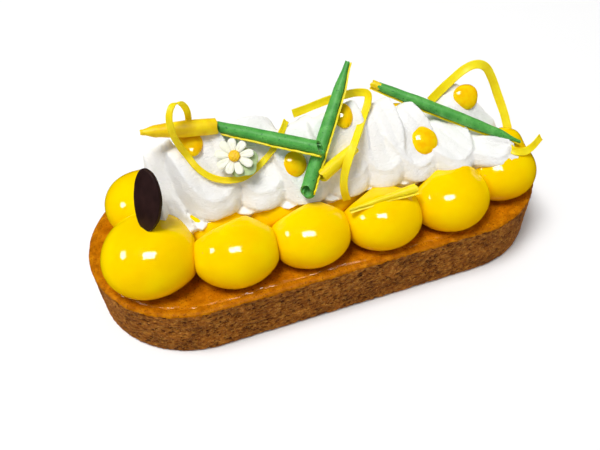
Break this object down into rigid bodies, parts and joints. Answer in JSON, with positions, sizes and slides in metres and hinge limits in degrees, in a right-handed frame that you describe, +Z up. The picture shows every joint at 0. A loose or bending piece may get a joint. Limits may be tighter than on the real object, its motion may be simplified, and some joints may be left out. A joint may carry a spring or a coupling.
{
  "type": "limoncello pastry slice",
  "caption": "Oblong shortcrust tart with rows of glossy lemon domes, a run of piped whipped cream, chocolate rolls and ribbons, gel drops, a sugar daisy and a bare oval plaque.",
  "frame": {"origin": "centre of the flat base, on the surface it stands on", "axes": "+Z up; +X along the slice, from the end with the plaque to the far end; the open row of domes faces -Y"},
  "size_m": [0.2304, 0.0974, 0.0986],
  "materials": {
    "baked_crust": "baked, porous and dull",
    "caramel_glaze": "wet, clear and glossy",
    "lemon_cream": "glazed, very glossy",
    "whipped_cream": "soft and dull",
    "lemon_gel": "wet and glossy",
    "green_chocolate": "dull with fine pores",
    "yellow_chocolate": "satin",
    "dark_chocolate": "satin",
    "sugar_petal": "dull sugar paste",
    "sugar_sepal": "dull sugar paste"
  },
  "bodies": {
    "root": {"pastry_case": "baked_crust", "glaze_sheet": "caramel_glaze", "lemon_dome_01": "lemon_cream", "lemon_dome_02": "lemon_cream", "lemon_dome_03": "lemon_cream", "lemon_dome_04": "lemon_cream", "lemon_dome_05": "lemon_cream", "lemon_dome_06": "lemon_cream", "lemon_dome_07": "lemon_cream", "lemon_dome_08": "lemon_cream", "lemon_dome_09": "lemon_cream", "lemon_dome_10": "lemon_cream", "lemon_dome_11": "lemon_cream", "lemon_dome_12": "lemon_cream", "lemon_dome_13": "lemon_cream", "lemon_dome_14": "lemon_cream", "lemon_dome_15": "lemon_cream", "lemon_dome_16": "lemon_cream", "lemon_dome_17": "lemon_cream", "whipped_cream": "whipped_cream", "gel_drop_1": "lemon_gel", "gel_drop_2": "lemon_gel", "gel_drop_3": "lemon_gel", "gel_drop_4": "lemon_gel", "gel_drop_5": "lemon_gel", "yellow_roll": "yellow_chocolate", "green_roll_1": "green_chocolate", "green_roll_2": "green_chocolate", "green_roll_3": "green_chocolate", "yellow_curl_1": "yellow_chocolate", "yellow_curl_2": "yellow_chocolate", "ribbon_1": "yellow_chocolate", "ribbon_2": "yellow_chocolate", "ribbon_3": "yellow_chocolate", "ribbon_4": "yellow_chocolate", "plaque": "dark_chocolate", "daisy_sepal": "sugar_sepal", "daisy_petals": "sugar_petal", "daisy_eye": "lemon_gel"}
  },
  "joints": []
}
